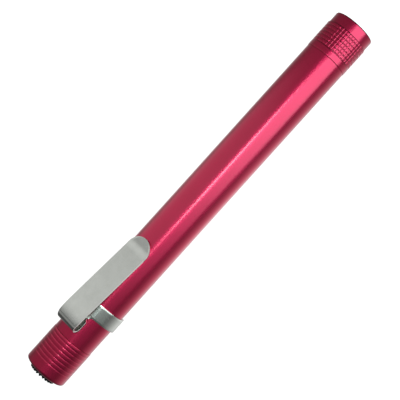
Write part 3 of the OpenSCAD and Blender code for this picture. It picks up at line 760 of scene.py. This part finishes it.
def draw_neck_and_tongue(piece):
    """Rounds the ring's corners, then draws its edge on top towards the tail, flattens it and widens it."""
    for i, shift in enumerate(NECK_CORNER):
        wanted = NECK_TURN + i * RING_STEP
        select_where(piece, lambda p, w=wanted: abs(turn_from_top(p) - w) < RING_STEP / 4
                     and p.x < RING_START + NEAR)
        bpy.ops.transform.translate(value=(shift, 0, 0))
    for edge_s, way in ((RING_START, 1), (RING_START + RING_W, -1)):
        for i, shift in enumerate(END_CORNER):
            wanted = RING_END_TURN - i * RING_STEP
            select_where(piece, lambda p, w=wanted, e=edge_s: abs(turn_from_top(p) - w) < RING_STEP / 4
                         and abs(p.x - e) < NEAR)
            bpy.ops.transform.translate(value=(way * shift, 0, 0))

    select_where(piece, lambda p: turn_from_top(p) < NECK_TURN + RING_STEP / 2 and p.x < RING_START + NEAR)
    bpy.ops.mesh.select_mode(type="EDGE")
    half = NECK_HALF
    for s, next_half, roundness in NECK_STATIONS:
        bpy.ops.mesh.extrude_edges_move(TRANSFORM_OT_translate={"value": (0, 0, 0)})
        bpy.ops.transform.resize(value=(0, 1, 1), center_override=(s, 0, 0))
        bpy.ops.transform.resize(value=(1, next_half / half, roundness), center_override=(0, 0, RING_MID_R))
        half = next_half


def arm_half(s):
    """Half of the sheet's width from the fold's end to the tip: it widens to the arm, and the tip is round."""
    from_fold = s - FOLD_S + FOLD_MID_R
    if from_fold < WIDENING:
        return ARM_HALF - (ARM_HALF - FOLD_HALF) * (1 - from_fold / WIDENING) ** 2
    if s > ROUND_START:
        return sqrt(ARM_HALF ** 2 - (s - ROUND_START) ** 2)
    return ARM_HALF


def arm_height(s):
    """Height of the sheet's middle from the fold's top to the tip: a gentle bow, a straight fall, a short bend at
    the dip and a tip that rises."""
    if s < BOW_END:
        return BOW_CENTRE_H + sqrt(BOW_R ** 2 - (s - FOLD_S) ** 2)
    past_dip = s - DIP_S
    slope = tan(ARM_FALL)
    if past_dip < -DIP_BEND:
        return DIP_H - past_dip * slope
    if past_dip > DIP_BEND:
        return DIP_H + past_dip * TIP_SLOPE
    return (DIP_H + (TIP_SLOPE - slope) / 2 * past_dip
            + (TIP_SLOPE + slope) / (4 * DIP_BEND) * (past_dip ** 2 + DIP_BEND ** 2))


def draw_fold(piece):
    """Spins the tongue's end up round the fold's axis, and widens the fold towards the arm."""
    bpy.ops.mesh.spin(steps=FOLD_STEPS, angle=-pi, center=(FOLD_S, 0, FOLD_H), axis=(0, 1, 0))

    def on_fold(place, turn):
        away = Vector((FOLD_S - place.x, FOLD_H - place.z))
        off = (degrees(atan2(away.x, away.y)) - turn + 180) % 360 - 180
        return abs(off) < 45 / FOLD_STEPS and abs(away.length - FOLD_MID_R) < 2 * NEAR

    for i in range(1, FOLD_STEPS + 1):
        turn = 180 * i / FOLD_STEPS
        half = arm_half(FOLD_S - FOLD_MID_R * sin(radians(turn)))
        if turn < 90:
            half = TONGUE_HALF + (FOLD_HALF - TONGUE_HALF) * turn / 90
        select_where(piece, lambda p, t=turn: on_fold(p, t))
        bpy.ops.transform.resize(value=(1, half / TONGUE_HALF, 1), center_override=(0, 0, 0))
    bpy.ops.mesh.select_mode(type="EDGE")


def draw_arm():
    """Draws the fold's end out along the arm, station by station, to the round tip."""
    bend_start = DIP_S - DIP_BEND
    stations = [FOLD_S + (BOW_END - FOLD_S) * i / BOW_STEPS for i in range(1, BOW_STEPS + 1)]
    stations += [BOW_END + (bend_start - BOW_END) * i / FALL_STEPS for i in range(1, FALL_STEPS + 1)]
    stations += [bend_start + (ROUND_START - bend_start) * i / BEND_STEPS for i in range(1, BEND_STEPS)]
    stations += [ROUND_START + ARM_HALF * sin(radians(90 * i / ROUND_STEPS)) for i in range(ROUND_STEPS)]
    s, h, half = FOLD_S, FOLD_H + FOLD_MID_R, arm_half(FOLD_S)
    for next_s in stations:
        next_h, next_half = arm_height(next_s), arm_half(next_s)
        bpy.ops.mesh.extrude_edges_move(TRANSFORM_OT_translate={"value": (next_s - s, 0, next_h - h)})
        if next_half != half:
            bpy.ops.transform.resize(value=(1, next_half / half, 1), center_override=(0, 0, 0))
        s, h, half = next_s, next_h, next_half
    merge_doubles()


def make_clip():
    """Pocket clip from one sheet: a split ring, a neck with rounded corners, a tongue, a round fold and a gently
    bowed arm whose tip turns up. The sheet's middle is drawn first, and is then given its thickness."""
    clip = draw_ring()
    draw_neck_and_tongue(clip)
    draw_fold(clip)
    draw_arm()
    clip.data.materials.append(STEEL)
    clip.data.materials.append(CUT)
    apply_modifier(clip, "SOLIDIFY", thickness=SHEET, offset=0.0, use_even_offset=True, material_offset_rim=1)
    softened(clip, SHEET_EDGE, angle=40.0)
    set_down(clip, None, "satin_steel", [])
    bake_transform(clip)
    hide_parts("clip_ring", "clip_arm")


SPRING_WIRE_R = 0.15
SPRING_TURNS = 3
SPRING_STEPS = 48
WIRE_SIDES = 12


def make_switch_spring():
    """The click switch's return spring: a coil between two closed end turns."""
    low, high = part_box("switch_spring")
    start, end = (low.x - TAIL_X) / MM + SPRING_WIRE_R, (high.x - TAIL_X) / MM - SPRING_WIRE_R
    coil_r = (high.y - low.y) / 2 / MM - SPRING_WIRE_R
    bpy.ops.object.select_all(action="DESELECT")
    bpy.ops.mesh.primitive_circle_add(vertices=WIRE_SIDES, radius=SPRING_WIRE_R, location=(start, 0, coil_r),
                                      rotation=(pi / 2, 0, 0))
    piece = named("return_spring")
    apply_modifier(piece, "SCREW", axis="X", angle=2 * pi, screw_offset=(end - start) / SPRING_TURNS,
                   iterations=SPRING_TURNS, steps=SPRING_STEPS, render_steps=SPRING_STEPS)
    for s in (start, end):
        bpy.ops.mesh.primitive_torus_add(location=(s, 0, 0), rotation=(0, pi / 2, 0), major_radius=coil_r,
                                         minor_radius=SPRING_WIRE_R, major_segments=SPRING_STEPS,
                                         minor_segments=WIRE_SIDES)
        named("end_turn")
        piece.select_set(True)
        bpy.context.view_layer.objects.active = piece
        bpy.ops.object.join()
    bpy.ops.object.mode_set(mode="EDIT")
    bpy.ops.mesh.select_all(action="SELECT")
    bpy.ops.mesh.normals_make_consistent(inside=False)
    set_down(piece, "tail_cap", "spring_steel", [SPRING], "switch_spring", smooth=60.0)
    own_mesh(piece)


make_barrel()
make_thread("tail_thread", TAIL_THREAD_START, TAIL_THREAD_TURNS)
make_thread("head_thread", HEAD_THREAD_START, HEAD_THREAD_TURNS)
make_tail_cap()
make_button()
make_switch_spring()
make_head()
make_lens()
make_reflector()
make_lamp()
make_dome()
make_clip()


# Floor and lights
FLOOR_GAP = 0.00002
FLOOR_GLOW = 0.85
ROOM_LEFT = 0.27
ROOM_RIGHT = 0.2
ROOM_BELOW = 1.15
ROOM_BEND = 1.7
ROOM_FADE = 3.6
LIGHT_DISTANCE = 0.62
COOL = "#e9fffd"
COLD = "#e2fffd"


def make_floor():
    """A light table: a plain pale sheet that glows a little, so that only a faint shadow is left under the pen."""
    bpy.ops.object.select_all(action="DESELECT")
    bpy.ops.mesh.primitive_plane_add(size=4.0, location=(0, 0, -FLOOR_GAP))
    floor = bpy.context.object
    floor.name = "floor"
    material, tree, shader, place = finish("studio_paper")
    tooth = add_node(tree, "ShaderNodeTexNoise", {"Vector": place, "Scale": per_mm(60.0), "Detail": 2.0})
    tinted(tree, shader, tooth.outputs["Fac"], "#f6f6f5", "#f8f8f7")
    set_shader(shader, Roughness=0.9, Emission_Color=(1, 1, 1, 1), Emission_Strength=FLOOR_GLOW)
    floor.data.materials.append(material)
    floor.visible_glossy = False


def make_room():
    """A dim room: darker on the pen's right than overhead and on its left, paler below, from the table, and fading
    towards the pen's two ends."""
    world = bpy.data.worlds.new("studio")
    bpy.context.scene.world = world
    world.use_nodes = True
    tree = world.node_tree
    way = add_node(tree, "ShaderNodeTexCoord").outputs["Generated"]
    parts = add_node(tree, "ShaderNodeSeparateXYZ", {"Vector": way})
    above = add_node(tree, "ShaderNodeMapRange", {"Value": parts.outputs["Y"], "From Min": -0.95, "From Max": -0.5,
                                                  "To Min": ROOM_RIGHT, "To Max": ROOM_LEFT})
    depth = add_node(tree, "ShaderNodeMapRange", {"Value": parts.outputs["Z"], "From Min": 0.1, "From Max": -0.95})
    nearness = add_node(tree, "ShaderNodeMath", {0: depth.outputs["Result"], 1: ROOM_BEND}, operation="POWER")
    glow = add_node(tree, "ShaderNodeMapRange", {"Value": nearness.outputs[0], "To Min": above.outputs["Result"],
                                                 "To Max": ROOM_BELOW})
    endways = add_node(tree, "ShaderNodeMath", {0: parts.outputs["X"]}, operation="ABSOLUTE")
    fade = add_node(tree, "ShaderNodeMath", {0: endways.outputs[0], 1: ROOM_FADE, 2: 1.0}, operation="MULTIPLY_ADD")
    faded = add_node(tree, "ShaderNodeMath", {0: glow.outputs["Result"], 1: fade.outputs[0]}, operation="DIVIDE")
    background = tree.nodes["Background"]
    background.inputs["Color"].default_value = (1, 1, 1, 1)
    tree.links.new(faded.outputs[0], background.inputs["Strength"])


def softbox(name, first_turn, last_turn, first_x, last_x, radiance, colour="#ffffff", shape="RECTANGLE"):
    """A soft studio light that faces the pen's axis. It covers a range of degrees round the pen, from the camera
    towards the pen's lower right, and a range along the pen, in metres from the middle."""
    turn = radians((first_turn + last_turn) / 2)
    back = cos(turn) * TOWARDS_CAMERA - sin(turn) * LEFT_OF_PEN
    along_pen = Vector((1, 0, 0))
    light = bpy.data.lights.new(name, "AREA")
    light.shape = shape
    light.color = linear(colour)[:3]
    light.size = last_x - first_x
    light.size_y = 2 * LIGHT_DISTANCE * tan(radians((last_turn - first_turn) / 2))
    light.energy = radiance * pi * light.size * light.size_y
    box = bpy.data.objects.new(name, light)
    bpy.context.scene.collection.objects.link(box)
    middle = at(MIDDLE_S, 0, 0) + (first_x + last_x) / 2 * along_pen
    box.matrix_world = Matrix.Translation(middle + LIGHT_DISTANCE * back) @ Matrix(
        (along_pen, back.cross(along_pen), back)).transposed().to_4x4()
    box.visible_camera = False


make_floor()
make_room()
# the key is a bank of panels that grows brighter and wider towards the head
softbox("key_panel_0", -4, 50, -0.118, -0.085, 0.16)
softbox("key_panel_1", -4, 54, -0.085, -0.02, 0.28, COOL)
softbox("key_panel_2", -4, 56, -0.02, 0.03, 0.98, COOL)
softbox("key_panel_3", -2, 57, 0.03, 0.075, 1.95, COOL)
softbox("key_panel_4", 2, 66, 0.075, 0.42, 2.25, COLD)
softbox("camera_strip", -5.5, 1.2, -0.04, 0.125, 9.3, COOL, "ELLIPSE")
softbox("camera_strip_tail", -5, 1, -0.15, -0.03, 0.7, COOL)
softbox("left_box", -122, -9, -0.125, 0.13, 0.5)
softbox("tail_panel_1", -109, -9, -0.36, -0.125, 0.06)
softbox("tail_panel_2", -109, -9, -0.85, -0.36, 0.22)
bpy.context.scene.view_settings.view_transform = "Standard"
